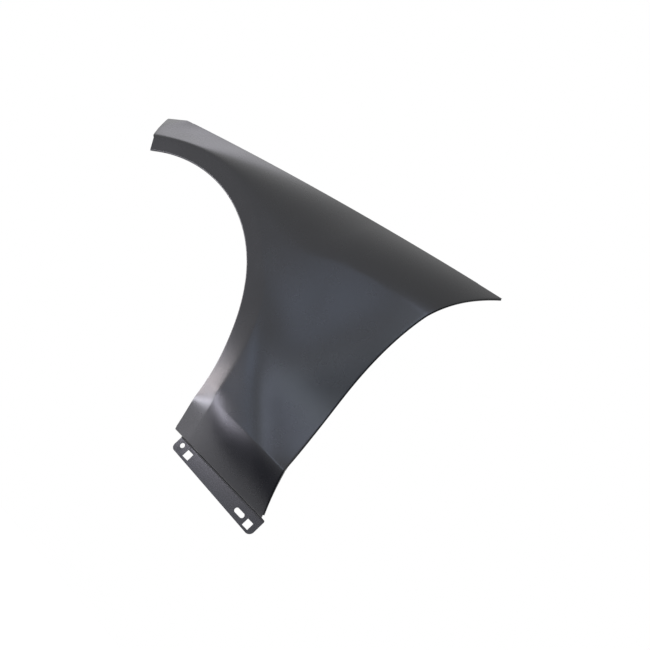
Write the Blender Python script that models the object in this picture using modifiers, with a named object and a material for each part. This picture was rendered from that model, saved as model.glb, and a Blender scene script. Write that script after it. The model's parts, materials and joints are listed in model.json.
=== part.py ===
"""Left front fender of a passenger car: one sheet of steel, pressed, trimmed, pierced and folded.

+X runs towards the rear of the car, +Y towards its middle and +Z up, all in metres. The press shape is
drawn about the wheel's centre, and the finished part is then moved so that its origin is the middle of
the sill plate's inner face, where the fender is bolted to the body.

The skin is a loft in four fields that meet along its pressed lines: the band round the wheel arch, the
crown up to the bonnet gap, the door side below the shoulder line, and the foot below the lower line.
"""

import math

import bmesh
import bpy
from mathutils import Matrix, Vector

# Sheet and folds. A fold's radius is that of the outer face.
SHEET = 0.0008
FOLD_RADIUS = 0.0024
PRESS_RADIUS = 0.0040
CREASE_RADIUS = 0.0040

# Wheel arch: an arc over the wheel, then a flatter one that runs down to the sill.
ARCH_RADIUS = 0.350
ARCH_REAR_RADIUS = 0.4225
ARCH_FRONT_DEG = 118.5
BAND_FRONT_DEG = 118.9
ARCH_JOIN_DEG = 43.0
BAND_WIDTH = 0.0355
BAND_NOSE_WIDTH = 0.030
BAND_REAR_WIDTH = 0.046
BAND_NOSE_FROM_DEG = 80.0
BAND_NOSE_RUN_DEG = 40.0
BAND_REAR_FROM_DEG = 52.0
BAND_REAR_RUN_DEG = 18.0
BAND_ROLL = 0.003
FOOT_BAND_ROLL = 0.017

# Corners of the outline in side view, measured from the wheel's centre.
SILL_DROP = 0.0670
NOSE_TOP_X = -0.260
NOSE_TOP_Z = 0.3995
NOSE_CORNER_X = -0.215
NOSE_CORNER_Z = 0.423
TIP_X = 0.6465
TIP_Z = 0.5572
BONNET_RISE = 0.0018
SHOULDER_X = 0.5915
SHOULDER_Z = 0.422
PILLAR_BOW = 0.0055
LOWER_LINE_X = 0.6180
LOWER_LINE_Z = 0.021
DOOR_BOW = 0.0222
DOOR_BOW_LEAN = -0.28
SILL_REAR_X = 0.6455
FOOT_BOW = 0.0004

# Shoulder line
SHOULDER_START_DEG = 58.0
SHOULDER_KNEE_X = 0.386
SHOULDER_KNEE_Z = 0.396
SHOULDER_SAG = 0.0115
SHOULDER_RISE = 0.002
START_ROUNDING = 0.065
KNEE_ROUNDING = 0.045

# Depth of the skin, inboard of the widest point of the side
NOSE_SWEEP = 0.035
NOSE_SWEEP_RUN = 0.400
NOSE_SWEEP_FROM = 0.140
DOOR_SWEEP = 0.016
DOOR_SWEEP_RUN = 0.350
DOOR_SWEEP_FROM = 0.300
NOSE_CROWN = 0.075
TIP_CROWN = 0.058
NOSE_CROWN_POWER = 1.05
DOOR_CROWN_POWER = 2.15
CROWN_FADE_FROM = -0.140
CROWN_FADE_RUN = 0.370
SCOOP_DEPTH = 0.011
SCOOP_RUN_SHARE = 0.95
SCOOP_TOP_STEEPNESS = 4.8
SCOOP_FOOT_STEEPNESS = 4.4
FOOT_KICK = 0.008
KICK_RUN_SHARE = 0.70
FOOT_TUCK = 0.014
FOOT_ROLL = 0.011
FOOT_ROLL_POWER = 2.5
FOOT_ROLL_RISE = 0.115

# Folded lip round the arch
LIP_WIDTH = 0.011
LIP_TURN_DEG = 110.0

# Door edge: a hem folded well back above the lower line, a square flange below it
HEM_WIDTH = 0.009
HEM_TURN_DEG = 132.0
FOOT_FLANGE_WIDTH = 0.010
SQUARE_TURN_DEG = 90.0
HEM_CHANGE_RUN = 0.030
HEM_TAPER_RUN = 0.060

# Nose edge flange
NOSE_FLANGE_WIDTH = 0.016

# Bonnet gutter: a wall down from the bonnet edge and a flat flange that lies on the inner wing
GUTTER_DEPTH = 0.040
GUTTER_TIP_DEPTH = 0.014
GUTTER_DRAFT_DEG = 8.0
GUTTER_FLANGE_WIDTH = 0.024
GUTTER_HOLE_WIDTH = 0.0095
GUTTER_HOLE_LENGTH = 0.0140
GUTTER_HOLE_SHARES = (0.10, 0.37, 0.64, 0.91)

# Sill flange: a ledge inboard, then a flat plate down
SILL_PLATE_INSET = 0.058
SILL_PLATE_FRONT_DEPTH = 0.0320
SILL_PLATE_REAR_DEPTH = 0.0430
SILL_FRONT_CORNER = 0.010
SILL_REAR_CORNER = 0.012
SILL_ROUND_DIAMETER = 0.0105
SILL_SQUARE = 0.0160
SILL_SLOT_WIDTH = 0.0105
SILL_SLOT_LENGTH = 0.0260
SILL_ROUND_FROM_FRONT = 0.0150
SILL_ROUND_DROP = 0.0142
SILL_FRONT_SQUARE_FROM_FRONT = 0.0392
SILL_FRONT_SQUARE_DROP = 0.0197
SILL_REAR_SQUARE_FROM_REAR = 0.0210
SILL_REAR_SQUARE_DROP = 0.0287
SILL_SLOT_FROM_REAR = 0.0502
SILL_SLOT_DROP = 0.0250
SILL_SEAT_DROP = 0.0210
HOLE_OVERRUN = 0.006

# Faces along and across each field
NOSE_COLUMNS = 24
KNEE_COLUMNS = 12
REAR_COLUMNS = 12
NOSE_CORNER_COLUMNS = 2
GUTTER_SKIPPED_COLUMNS = 3
FOLD_STEPS = 3
HOLE_SEGMENTS = 24
CORNER_SEGMENTS = 6
CROWN_ROW_SHARES = (0.0, 0.03, 0.08, 0.16, 0.26, 0.36, 0.46, 0.56, 0.66, 0.76, 0.85, 0.93, 1.0)
DOOR_ROW_SHARES = (
    0.0, 0.015, 0.05, 0.10, 0.17, 0.24, 0.31, 0.38, 0.45,
    0.52, 0.59, 0.66, 0.73, 0.80, 0.87, 0.93, 0.985, 1.0,
)
FOOT_ROW_SHARES = (0.0, 0.03, 0.16, 0.32, 0.48, 0.64, 0.80, 0.93, 1.0)
BAND_ROW_SHARES = (0.0, 0.06, 0.16, 0.36, 0.60, 0.82, 1.0)
SILL_PLATE_SKIPPED_COLUMNS = 2

STEEL_COLOUR = (0.030, 0.030, 0.032, 1.0)
STEEL_ROUGHNESS = 0.42


def even_shares(count):
    return tuple(i / count for i in range(count + 1))


def smooth(value):
    """A ramp from 0 to 1 with level ends."""
    value = min(max(value, 0.0), 1.0)
    return value * value * (3.0 - 2.0 * value)


def mix(first, last, share):
    return first + (last - first) * share


def soft_min(first, second, rounding):
    """The smaller of two heights, rounded off where they cross."""
    near = max(rounding - abs(first - second), 0.0) / rounding
    return min(first, second) - 0.25 * rounding * near**2


def ease(distance):
    """The distance from a pressed line, rounded off near the line by the crease radius."""
    return math.hypot(distance, CREASE_RADIUS) - CREASE_RADIUS


def eased_share(share, length):
    return ease(share * length) / ease(length)


def hump(share):
    """0 at both ends of a run and 1 at its middle."""
    return 4.0 * share * (1.0 - share)


def bow(start, end, rise, share, lean=0.0):
    """A point on the shallow curve from start to end that stands rise off its chord at the middle."""
    chord = end - start
    side = Vector((-chord.y, chord.x)).normalized()
    lift = rise * hump(share) * (1.0 + lean * (1.0 - 2.0 * share))
    return start + chord * share + side * lift


def rear_arc_centre():
    join = math.radians(ARCH_JOIN_DEG)
    return Vector((math.cos(join), math.sin(join))) * (ARCH_RADIUS - ARCH_REAR_RADIUS)


def arch_point(degrees, outward):
    """Side view of the arch at this angle of its radius, moved outward from the wheel opening."""
    ray = Vector((math.cos(math.radians(degrees)), math.sin(math.radians(degrees))))
    if degrees >= ARCH_JOIN_DEG:
        return ray * (ARCH_RADIUS + outward)
    return rear_arc_centre() + ray * (ARCH_REAR_RADIUS + outward)


def arch_degrees_at(height, outward):
    """The angle at which the rear arc, moved outward, reaches this height."""
    rise = height - rear_arc_centre().y
    return math.degrees(math.asin(rise / (ARCH_REAR_RADIUS + outward)))


def band_width(degrees):
    """Narrow at the nose, wider down the back of the arch."""
    if degrees > BAND_NOSE_FROM_DEG:
        share = smooth((degrees - BAND_NOSE_FROM_DEG) / BAND_NOSE_RUN_DEG)
        return mix(BAND_WIDTH, BAND_NOSE_WIDTH, share)
    share = smooth((BAND_REAR_FROM_DEG - degrees) / BAND_REAR_RUN_DEG)
    return mix(BAND_WIDTH, BAND_REAR_WIDTH, share)


def shoulder_start():
    return arch_point(SHOULDER_START_DEG, band_width(SHOULDER_START_DEG))


def shoulder_front_height(x):
    """The soft front run of the shoulder line, sagging between the band and the knee."""
    start = shoulder_start()
    run = SHOULDER_KNEE_X - start.x
    share = (x - start.x) / run
    if share < 0.0:
        slope = (SHOULDER_KNEE_Z - start.y - 4.0 * SHOULDER_SAG) / run
        return start.y + slope * (x - start.x)
    return mix(start.y, SHOULDER_KNEE_Z, share) - SHOULDER_SAG * hump(share)


def shoulder_rear_height(x):
    """The crisp rear run of the shoulder line, from the knee to the door."""
    share = (x - SHOULDER_KNEE_X) / (SHOULDER_X - SHOULDER_KNEE_X)
    return mix(SHOULDER_KNEE_Z, SHOULDER_Z, share) + SHOULDER_RISE * hump(min(max(share, 0.0), 1.0))


def bonnet_height(x):
    if x < NOSE_CORNER_X:
        return mix(NOSE_TOP_Z, NOSE_CORNER_Z, (x - NOSE_TOP_X) / (NOSE_CORNER_X - NOSE_TOP_X))
    share = (x - NOSE_CORNER_X) / (TIP_X - NOSE_CORNER_X)
    return mix(NOSE_CORNER_Z, TIP_Z, share) + BONNET_RISE * hump(share)


def crown_height(x, z):
    """How far a point lies above the crown's lower line, which is rounded where it bends."""
    over_band = math.hypot(x, z) - ARCH_RADIUS - band_width(math.degrees(math.atan2(z, x)))
    over_front = z - shoulder_front_height(x)
    over_rear = z - shoulder_rear_height(x)
    over_shoulder = -soft_min(-over_front, -over_rear, KNEE_ROUNDING)
    return max(soft_min(over_band, over_shoulder, START_ROUNDING), 0.0)


def side_depth(x, z):
    """Depth of the skin: its plan view, and the crown, sharp at the nose and soft behind it."""
    nose = max(NOSE_SWEEP_FROM - x, 0.0) / NOSE_SWEEP_RUN
    door = max(x - DOOR_SWEEP_FROM, 0.0) / DOOR_SWEEP_RUN
    depth = NOSE_SWEEP * nose**2 + DOOR_SWEEP * door**2 - BAND_ROLL
    height = crown_height(x, z)
    if height == 0.0:
        return depth
    full = crown_height(x, bonnet_height(x))
    power = mix(NOSE_CROWN_POWER, DOOR_CROWN_POWER, smooth((x - CROWN_FADE_FROM) / CROWN_FADE_RUN))
    amount = mix(NOSE_CROWN, TIP_CROWN, (x - NOSE_TOP_X) / (TIP_X - NOSE_TOP_X))
    return depth + amount * eased_share(height / full, full) ** power


def foot_share(z):
    """0 at the lower line and above, 1 at the sill."""
    return max(LOWER_LINE_Z - z, 0.0) / (LOWER_LINE_Z + SILL_DROP)


def foot_turn(z):
    """How far the skin next to the band turns in behind the wheel, growing down to the sill."""
    top = LOWER_LINE_Z + FOOT_ROLL_RISE
    return FOOT_ROLL * smooth((top - z) / (top + SILL_DROP))


def door_depth(x, z, along, share, height):
    """Depth of the door side: a scoop that opens towards the door, and the turn behind the wheel."""
    down = eased_share(1.0 - share, height)
    hollow = down * (1.0 - down) * mix(SCOOP_TOP_STEEPNESS, SCOOP_FOOT_STEEPNESS, down)
    turn = foot_turn(z) * (1.0 - along) ** FOOT_ROLL_POWER
    return side_depth(x, z) + SCOOP_DEPTH * smooth(along / SCOOP_RUN_SHARE) * hollow + turn


def foot_depth(x, z, along):
    """Depth of the foot: kicked in at the lower line, then tucked under towards the sill."""
    down = foot_share(z)
    kick = mix(down**2, eased_share(down, LOWER_LINE_Z + SILL_DROP), smooth(along / KICK_RUN_SHARE))
    turn = foot_turn(z) * (1.0 - along) ** FOOT_ROLL_POWER
    return side_depth(x, z) + FOOT_KICK * kick + FOOT_TUCK * down**2 + turn


def band_edge_depth(x, z):
    """Depth along the band's outer line, shared by every field that meets it."""
    return side_depth(x, z) + (FOOT_KICK + FOOT_TUCK) * foot_share(z) ** 2 + foot_turn(z)


def band_angle(kind, share, across):
    """The angle of a column of the band at a place across it: 0 at the arch edge, 1 at the outer line."""
    lower = arch_degrees_at(LOWER_LINE_Z, BAND_REAR_WIDTH)
    if kind == "nose":
        return mix(mix(ARCH_FRONT_DEG, BAND_FRONT_DEG, across), SHOULDER_START_DEG, share)
    if kind == "door":
        return mix(lower, SHOULDER_START_DEG, share)
    return mix(arch_degrees_at(-SILL_DROP, across * BAND_REAR_WIDTH), lower, share)


def band_grid():
    """Rows from the band's outer line in to the arch edge, each running from the nose to the sill."""
    columns = [("nose", share) for share in even_shares(NOSE_COLUMNS)]
    columns += [("door", share) for share in reversed(DOOR_ROW_SHARES[:-1])]
    columns += [("foot", share) for share in reversed(FOOT_ROW_SHARES[:-1])]
    rows = []
    for row_share in BAND_ROW_SHARES:
        row = []
        for kind, share in columns:
            outer = band_angle(kind, share, 1.0)
            line = arch_point(outer, band_width(outer))
            angle = band_angle(kind, share, 1.0 - row_share)
            width = band_width(angle)
            spot = arch_point(angle, (1.0 - row_share) * width)
            roll = mix(BAND_ROLL, FOOT_BAND_ROLL, smooth((ARCH_JOIN_DEG - angle) / ARCH_JOIN_DEG))
            depth = band_edge_depth(line.x, line.y) + roll * eased_share(row_share, width)
            row.append(Vector((spot.x, depth, spot.y)))
        rows.append(row)
    return rows


def field(bottom, top, left, right, row_shares):
    """Side view rows that fill four edges, which meet at the corners."""
    rows = []
    last = len(bottom) - 1
    for share, first, final in zip(row_shares, left, right):
        row = []
        for i, (low, high) in enumerate(zip(bottom, top)):
            along = i / last
            across = mix(low, high, share)
            edges = mix(first, final, along)
            corners = mix(mix(bottom[0], top[0], share), mix(bottom[-1], top[-1], share), along)
            row.append(across + edges - corners)
        rows.append(row)
    return rows


def lifted(rows, row_shares, depth):
    """Side view rows made points in space by a depth that may use the place along, up and the height."""
    last = len(rows[0]) - 1
    heights = [(rows[-1][i] - rows[0][i]).length for i in range(last + 1)]
    return [
        [Vector((p.x, depth(p.x, p.y, i / last, share, heights[i]), p.y)) for i, p in enumerate(row)]
        for row, share in zip(rows, row_shares)
    ]


def skin_fields():
    """The crown, door side, foot and band, each as rows of points."""
    band = band_grid()
    line = [Vector((p.x, p.z)) for p in band[0]]
    lower_column = NOSE_COLUMNS + len(DOOR_ROW_SHARES) - 1
    lower_end = Vector((LOWER_LINE_X, LOWER_LINE_Z))
    sill_end = Vector((SILL_REAR_X, -SILL_DROP))

    front_run = [mix(shoulder_start().x, SHOULDER_KNEE_X, share) for share in even_shares(KNEE_COLUMNS)]
    rear_run = [mix(SHOULDER_KNEE_X, SHOULDER_X, share) for share in even_shares(REAR_COLUMNS)[1:]]
    shoulder = [Vector((x, shoulder_front_height(x))) for x in front_run]
    shoulder += [Vector((x, shoulder_rear_height(x))) for x in rear_run]
    lengthwise = even_shares(KNEE_COLUMNS + REAR_COLUMNS)
    lower = [mix(line[lower_column], lower_end, share) for share in lengthwise]
    sill = [mix(line[-1], sill_end, share) for share in lengthwise]
    straight = NOSE_COLUMNS + KNEE_COLUMNS + REAR_COLUMNS - NOSE_CORNER_COLUMNS
    bonnet_run = [mix(NOSE_TOP_X, NOSE_CORNER_X, share) for share in even_shares(NOSE_CORNER_COLUMNS)[:-1]]
    bonnet_run += [mix(NOSE_CORNER_X, TIP_X, share) for share in even_shares(straight)]
    bonnet = [Vector((x, bonnet_height(x))) for x in bonnet_run]

    crown = field(
        line[:NOSE_COLUMNS] + shoulder,
        bonnet,
        [mix(line[0], bonnet[0], share) for share in CROWN_ROW_SHARES],
        [bow(shoulder[-1], bonnet[-1], PILLAR_BOW, share) for share in CROWN_ROW_SHARES],
        CROWN_ROW_SHARES,
    )
    door = field(
        lower,
        shoulder,
        line[lower_column : NOSE_COLUMNS - 1 : -1],
        [bow(lower_end, shoulder[-1], DOOR_BOW, share, DOOR_BOW_LEAN) for share in DOOR_ROW_SHARES],
        DOOR_ROW_SHARES,
    )
    foot = field(
        sill,
        lower,
        line[: lower_column - 1 : -1],
        [bow(sill_end, lower_end, FOOT_BOW, share) for share in FOOT_ROW_SHARES],
        FOOT_ROW_SHARES,
    )
    return (
        [[Vector((p.x, side_depth(p.x, p.y), p.y)) for p in row] for row in crown],
        lifted(door, DOOR_ROW_SHARES, door_depth),
        lifted(foot, FOOT_ROW_SHARES, lambda x, z, along, share, height: foot_depth(x, z, along)),
        band,
    )


def edge_frames(edge, inner):
    """At each point of an edge, the way out of the skin and the skin's outward normal."""
    frames = []
    for i, point in enumerate(edge):
        before = edge[max(i - 1, 0)]
        after = edge[min(i + 1, len(edge) - 1)]
        along = (after - before).normalized()
        out = point - inner[i]
        out = (out - along * out.dot(along)).normalized()
        normal = along.cross(out)
        if normal.y > 0.0:
            normal = -normal
        frames.append((out, normal))
    return frames


def turned(point, out, normal, degrees, radius):
    """The points of a fold off the skin, and the way it then runs."""
    centre = point - normal * radius
    points = []
    for step in range(1, FOLD_STEPS + 1):
        angle = math.radians(degrees) * step / FOLD_STEPS
        points.append(centre + normal * (radius * math.cos(angle)) + out * (radius * math.sin(angle)))
    angle = math.radians(degrees)
    return points, out * math.cos(angle) - normal * math.sin(angle)


def flange(edge, inner, folds):
    """Rows of a flange folded inboard off an edge, starting with the edge itself.

    folds holds the turn in degrees and the width past the fold at each point of the edge.
    """
    rows = [list(edge)]
    rows += [[] for _ in range(FOLD_STEPS + 1)]
    for point, (out, normal), (degrees, width) in zip(edge, edge_frames(edge, inner), folds):
        points, way = turned(point, out, normal, degrees, FOLD_RADIUS)
        for row, place in zip(rows[1:], points):
            row.append(place)
        rows[-1].append(points[-1] + way * width)
    return rows


def rear_fold(point):
    """The turn and width of the rear edge's fold: square on the foot, a hem above, thin at the tip."""
    above = smooth((point.z - LOWER_LINE_Z) / HEM_CHANGE_RUN)
    tip = smooth((TIP_X - point.x) / HEM_TAPER_RUN)
    width = mix(FOOT_FLANGE_WIDTH, HEM_WIDTH, above)
    return mix(SQUARE_TURN_DEG, HEM_TURN_DEG, above), width * tip


def gutter_height(x):
    """Height of the flat flange under the bonnet edge."""
    start = NOSE_CORNER_Z - GUTTER_DEPTH
    end = TIP_Z - GUTTER_TIP_DEPTH
    return mix(start, end, (x - NOSE_CORNER_X) / (TIP_X - NOSE_CORNER_X))


def bonnet_gutter(edge, inner):
    """Rows of the wall down from the bonnet edge and of the flat flange at its foot."""
    rows = [[] for _ in range(2 * FOLD_STEPS + 3)]
    draft = math.radians(GUTTER_DRAFT_DEG)
    down = Vector((0.0, math.sin(draft), -math.cos(draft)))
    for point, (out, normal) in zip(edge, edge_frames(edge, inner)):
        turn = math.degrees(math.atan2(-normal.dot(down), out.dot(down)))
        points, _ = turned(point, out, normal, turn, PRESS_RADIUS)
        foot = points[-1]
        floor = gutter_height(foot.x)
        fall = foot.z - floor - PRESS_RADIUS
        wall = foot + down * (fall / math.cos(draft))
        wall.x = foot.x
        column = [point] + points + [wall]
        for step in range(1, FOLD_STEPS + 1):
            angle = 0.5 * math.pi * step / FOLD_STEPS
            inboard = PRESS_RADIUS * (1.0 - math.cos(angle))
            below = PRESS_RADIUS * math.sin(angle)
            column.append(wall + Vector((0.0, inboard, -below)))
        column.append(column[-1] + Vector((0.0, GUTTER_FLANGE_WIDTH, 0.0)))
        for row, place in zip(rows, column):
            row.append(place)
    return rows


def sill_ledge(edge, inner):
    """Rows of the ledge that runs inboard off the foot, as far as the sill plate's upper fold."""
    rows = [[] for _ in range(FOLD_STEPS + 2)]
    inboard = Vector((0.0, 1.0, 0.0))
    for point, (out, normal) in zip(edge, edge_frames(edge, inner)):
        turn = math.degrees(math.atan2(-normal.dot(inboard), out.dot(inboard)))
        points, _ = turned(point, out, normal, turn, PRESS_RADIUS)
        end = points[-1].copy()
        end.y = SILL_PLATE_INSET - PRESS_RADIUS
        for row, place in zip(rows, [point] + points + [end]):
            row.append(place)
    return rows


def sill_plate_bottom(x, front, rear):
    """Height of the plate's lower edge, which falls to the rear."""
    return -SILL_DROP - mix(SILL_PLATE_FRONT_DEPTH, SILL_PLATE_REAR_DEPTH, (x - front) / (rear - front))


def sill_plate(edge):
    """Rows of the plate folded down off the inboard edge of the ledge."""
    rows = [list(edge)]
    rows += [[] for _ in range(FOLD_STEPS + 1)]
    front = edge[0].x
    rear = edge[-1].x
    for point in edge:
        for step in range(1, FOLD_STEPS + 1):
            angle = 0.5 * math.pi * step / FOLD_STEPS
            inboard = PRESS_RADIUS * math.sin(angle)
            below = PRESS_RADIUS * (1.0 - math.cos(angle))
            rows[step].append(point + Vector((0.0, inboard, -below)))
        bottom = Vector((point.x, SILL_PLATE_INSET, sill_plate_bottom(point.x, front, rear)))
        rows[-1].append(bottom)
    return rows


def add_rows(mesh, rows):
    """Faces between neighbouring rows of points."""
    made = [[mesh.verts.new(p) for p in row] for row in rows]
    for low, high in zip(made, made[1:]):
        for i in range(len(low) - 1):
            mesh.faces.new((low[i], low[i + 1], high[i + 1], high[i]))


def fender_sheet():
    """Every row of points of the outer face, and the ends of the sill plate and of the gutter."""
    crown, door, foot, band = skin_fields()
    fields = [crown, door, foot, band]

    part = slice(0, len(band[-1]) - 1)
    folds = [(LIP_TURN_DEG, LIP_WIDTH)] * len(band[-1])
    fields.append(flange(band[-1][part], band[-2][part], folds))

    rear_rows = foot[1:] + door[1:] + crown[1:-1]
    rear_edge = [row[-1] for row in rear_rows]
    rear_inner = [row[-2] for row in rear_rows]
    fields.append(flange(rear_edge, rear_inner, [rear_fold(point) for point in rear_edge]))

    nose_rows = crown[2:-1]
    nose_edge = [row[0] for row in nose_rows]
    nose_inner = [row[1] for row in nose_rows]
    folds = [(SQUARE_TURN_DEG, NOSE_FLANGE_WIDTH)] * len(nose_edge)
    fields.append(flange(nose_edge, nose_inner, folds))

    part = slice(NOSE_CORNER_COLUMNS + 1, len(crown[-1]) - GUTTER_SKIPPED_COLUMNS)
    gutter = bonnet_gutter(crown[-1][part], crown[-2][part])
    fields.append(gutter)

    sill_edge = [row[-1] for row in reversed(band)] + foot[0][1:]
    sill_inner = [row[-2] for row in reversed(band)] + foot[1][1:]
    ledge = sill_ledge(sill_edge, sill_inner)
    fields.append(ledge)
    plate_edge = ledge[-1][SILL_PLATE_SKIPPED_COLUMNS:]
    fields.append(sill_plate(plate_edge))
    return fields, (plate_edge[0].x, plate_edge[-1].x), gutter[-1]


def new_object(name, mesh, collection):
    data = bpy.data.meshes.new(name)
    mesh.to_mesh(data)
    mesh.free()
    obj = bpy.data.objects.new(name, data)
    collection.objects.link(obj)
    return obj


def new_collection(name):
    collection = bpy.data.collections.new(name)
    bpy.context.scene.collection.children.link(collection)
    return collection


def outboard_first(mesh):
    """Winds the sheet's faces so that its outer face looks outboard."""
    bmesh.ops.recalc_face_normals(mesh, faces=mesh.faces)
    if sum(face.normal.y * face.calc_area() for face in mesh.faces) > 0.0:
        bmesh.ops.reverse_faces(mesh, faces=mesh.faces)


def cutter(name, mesh, place, collection):
    obj = new_object(name, mesh, collection)
    obj.matrix_world = place
    obj.hide_render = True
    obj.display_type = "WIRE"
    return obj


def slot_mesh(width, length, depth):
    """A bar with round ends, long along X and with its depth along Z. Equal sizes give a round bar."""
    mesh = bmesh.new()
    bmesh.ops.create_cone(
        mesh,
        cap_ends=True,
        segments=HOLE_SEGMENTS,
        radius1=0.5 * width,
        radius2=0.5 * width,
        depth=depth,
    )
    bmesh.ops.rotate(mesh, matrix=Matrix.Rotation(math.pi / HOLE_SEGMENTS, 3, "Z"), verts=mesh.verts)
    for vertex in mesh.verts:
        vertex.co.x += math.copysign(0.5 * (length - width), vertex.co.x)
    return mesh


def square_mesh(side, depth):
    mesh = bmesh.new()
    bmesh.ops.create_cube(mesh, size=side)
    bmesh.ops.scale(mesh, vec=Vector((1.0, 1.0, depth / side)), verts=mesh.verts)
    return mesh


def corner_mesh(radius, side, depth):
    """A bar that rounds a lower corner: side is -1 for the front corner and 1 for the rear one.

    It is drawn about the corner, long along Y.
    """
    over = HOLE_OVERRUN
    profile = [(-side * radius, -over), (side * over, -over), (side * over, radius)]
    for step in range(CORNER_SEGMENTS + 1):
        angle = 0.5 * math.pi * step / CORNER_SEGMENTS
        across = -side * radius * (1.0 - math.cos(angle))
        profile.append((across, radius * (1.0 - math.sin(angle))))
    mesh = bmesh.new()
    face = mesh.faces.new([mesh.verts.new((x, -0.5 * depth, z)) for x, z in profile])
    made = bmesh.ops.extrude_face_region(mesh, geom=[face])
    moved = [item for item in made["geom"] if isinstance(item, bmesh.types.BMVert)]
    bmesh.ops.translate(mesh, vec=Vector((0.0, depth, 0.0)), verts=moved)
    bmesh.ops.recalc_face_normals(mesh, faces=mesh.faces)
    return mesh


def add_sill_cutters(front, rear, origin, collection):
    """The tools that pierce the sill plate and round its lower corners."""
    depth = 2.0 * HOLE_OVERRUN
    across = Matrix.Rotation(math.radians(90.0), 4, "X")
    round_bar = slot_mesh(SILL_ROUND_DIAMETER, SILL_ROUND_DIAMETER, depth)
    slot_bar = slot_mesh(SILL_SLOT_WIDTH, SILL_SLOT_LENGTH, depth)
    front_bar = square_mesh(SILL_SQUARE, depth)
    rear_bar = square_mesh(SILL_SQUARE, depth)
    holes = (
        ("round", round_bar, front + SILL_ROUND_FROM_FRONT, SILL_ROUND_DROP),
        ("front_square", front_bar, front + SILL_FRONT_SQUARE_FROM_FRONT, SILL_FRONT_SQUARE_DROP),
        ("slot", slot_bar, rear - SILL_SLOT_FROM_REAR, SILL_SLOT_DROP),
        ("rear_square", rear_bar, rear - SILL_REAR_SQUARE_FROM_REAR, SILL_REAR_SQUARE_DROP),
    )
    for name, mesh, x, drop in holes:
        place = Vector((x, SILL_PLATE_INSET, -SILL_DROP - drop)) - origin
        cutter("cut_" + name, mesh, Matrix.Translation(place) @ across, collection)
    corners = (
        ("front_corner", SILL_FRONT_CORNER, -1.0, front, front + SILL_FRONT_CORNER),
        ("rear_corner", SILL_REAR_CORNER, 1.0, rear, rear - SILL_REAR_CORNER),
    )
    for name, radius, side, end, tangent in corners:
        place = Vector((end, SILL_PLATE_INSET, sill_plate_bottom(tangent, front, rear))) - origin
        cutter("cut_" + name, corner_mesh(radius, side, depth), Matrix.Translation(place), collection)


def add_gutter_cutters(edge, origin, collection):
    """The tools that pierce the gutter's flange, spread along its inboard edge."""
    slope = math.atan2(gutter_height(TIP_X) - gutter_height(0.0), TIP_X)
    tilt = Matrix.Rotation(-slope, 4, "Y")
    for number, share in enumerate(GUTTER_HOLE_SHARES, 1):
        point = edge[round(share * (len(edge) - 1))]
        place = point - Vector((0.0, 0.5 * GUTTER_FLANGE_WIDTH, 0.0)) - origin
        mesh = slot_mesh(GUTTER_HOLE_WIDTH, GUTTER_HOLE_LENGTH, 2.0 * HOLE_OVERRUN)
        cutter("cut_gutter_%d" % number, mesh, Matrix.Translation(place) @ tilt, collection)


def electrocoated_steel():
    material = bpy.data.materials.new("electrocoated_steel")
    material.use_nodes = True
    shader = material.node_tree.nodes["Principled BSDF"]
    shader.inputs["Base Color"].default_value = STEEL_COLOUR
    shader.inputs["Roughness"].default_value = STEEL_ROUGHNESS
    shader.inputs["Metallic"].default_value = 0.0
    return material


def main():
    for obj in list(bpy.data.objects):
        bpy.data.objects.remove(obj, do_unlink=True)
    parts = new_collection("front_fender")
    cutters = new_collection("cutters")

    fields, sill_ends, gutter_edge = fender_sheet()
    middle = 0.5 * (sill_ends[0] + sill_ends[1])
    origin = Vector((middle, SILL_PLATE_INSET + SHEET, -SILL_DROP - SILL_SEAT_DROP))

    mesh = bmesh.new()
    for rows in fields:
        add_rows(mesh, rows)
    bmesh.ops.remove_doubles(mesh, verts=mesh.verts, dist=0.00001)
    bmesh.ops.translate(mesh, vec=-origin, verts=mesh.verts)
    outboard_first(mesh)
    fender = new_object("fender_panel", mesh, parts)
    fender.data.materials.append(electrocoated_steel())
    fender.data.shade_smooth()

    shell = fender.modifiers.new("sheet", "SOLIDIFY")
    shell.thickness = SHEET
    shell.offset = -1.0
    shell.use_even_offset = True

    add_sill_cutters(*sill_ends, origin, cutters)
    add_gutter_cutters(gutter_edge, origin, cutters)
    pierce = fender.modifiers.new("pierce", "BOOLEAN")
    pierce.operation = "DIFFERENCE"
    pierce.operand_type = "COLLECTION"
    pierce.collection = cutters
    pierce.solver = "EXACT"


main()
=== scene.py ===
"""Looks of a left front fender: one pressed steel sheet in satin black electrocoat, in a pale studio."""

import json
import logging
import math
from collections.abc import Sequence
from dataclasses import dataclass, field
from enum import Enum
from typing import TypeVar

import bmesh
import bpy
from mathutils import Matrix, Vector

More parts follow.
